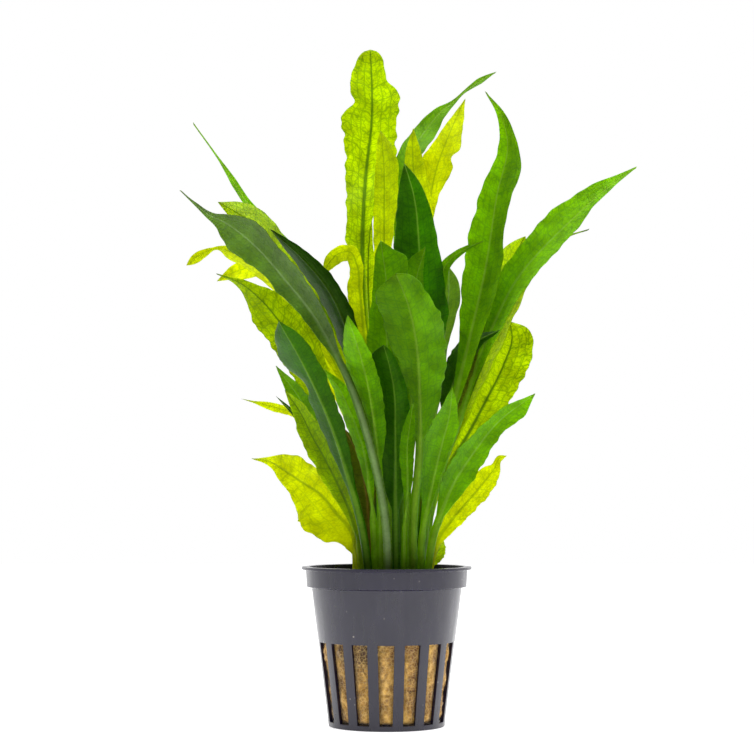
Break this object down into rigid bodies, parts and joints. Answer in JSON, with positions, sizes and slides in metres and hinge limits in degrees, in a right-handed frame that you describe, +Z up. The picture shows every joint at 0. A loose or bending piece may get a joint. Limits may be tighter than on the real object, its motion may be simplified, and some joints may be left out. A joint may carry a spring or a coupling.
{
  "type": "potted amazon sword plant",
  "caption": "Aquarium sword plant with long strap leaves rising from a short crown, rooted in mineral wool in a small slotted net pot.",
  "frame": {"origin": "centre of the pot's flat underside, on the surface that it stands on", "axes": "+Z up along the pot's axis, towards the leaf tips; the picture looks along +Y, so the side it shows faces -Y; +X is to the picture's right"},
  "size_m": [0.156, 0.098, 0.2312],
  "materials": {
    "pot": "moulded polypropylene, satin, dark blue violet",
    "wool": "fibrous mineral wool, ochre brown",
    "crown": "rough brown plant tissue",
    "leaf_green": "thin waxy leaf, mid green, lets light through",
    "leaf_dark": "thin waxy leaf, dark green, lets light through",
    "leaf_pale": "thin waxy leaf, yellow green, lets light through"
  },
  "bodies": {
    "root": {"pot": "pot", "wool_plug": "wool", "crown": "crown", "leaf_front_big": "leaf_green", "leaf_right_short": "leaf_green", "leaf_left_long": "leaf_green", "leaf_front_left": "leaf_green", "leaf_left_dark": "leaf_dark", "leaf_front_dark": "leaf_dark", "leaf_front_small": "leaf_green", "leaf_right_low": "leaf_green", "leaf_left_inner": "leaf_dark", "leaf_left_grey": "leaf_green", "leaf_left_spike": "leaf_green", "leaf_left_short": "leaf_green", "leaf_centre_green": "leaf_green", "leaf_centre_round": "leaf_green", "leaf_centre_dark": "leaf_dark", "leaf_right_hook": "leaf_dark", "leaf_right_tall": "leaf_dark", "leaf_right_dark": "leaf_dark", "leaf_left_brown": "leaf_green", "leaf_left_arch": "leaf_dark", "leaf_left_broad": "leaf_green", "leaf_right_red": "leaf_green", "leaf_right_long": "leaf_green", "leaf_right_thin": "leaf_pale", "leaf_right_round": "leaf_pale", "leaf_right_broad": "leaf_pale", "leaf_right_behind": "leaf_green", "leaf_top_narrow": "leaf_pale", "leaf_top_yellow": "leaf_pale", "leaf_top_pale": "leaf_pale", "leaf_top_twisted": "leaf_green", "leaf_drooping": "leaf_pale", "leaf_tallest": "leaf_pale", "leaf_behind_tallest": "leaf_pale", "leaf_left_top": "leaf_green", "leaf_left_needle": "leaf_green", "leaf_left_curled": "leaf_pale", "leaf_left_pale": "leaf_pale", "leaf_left_yellow_tip": "leaf_pale", "leaf_low_left": "leaf_pale", "leaf_low_right": "leaf_pale", "leaf_low_lobe": "leaf_pale"}
  },
  "joints": []
}
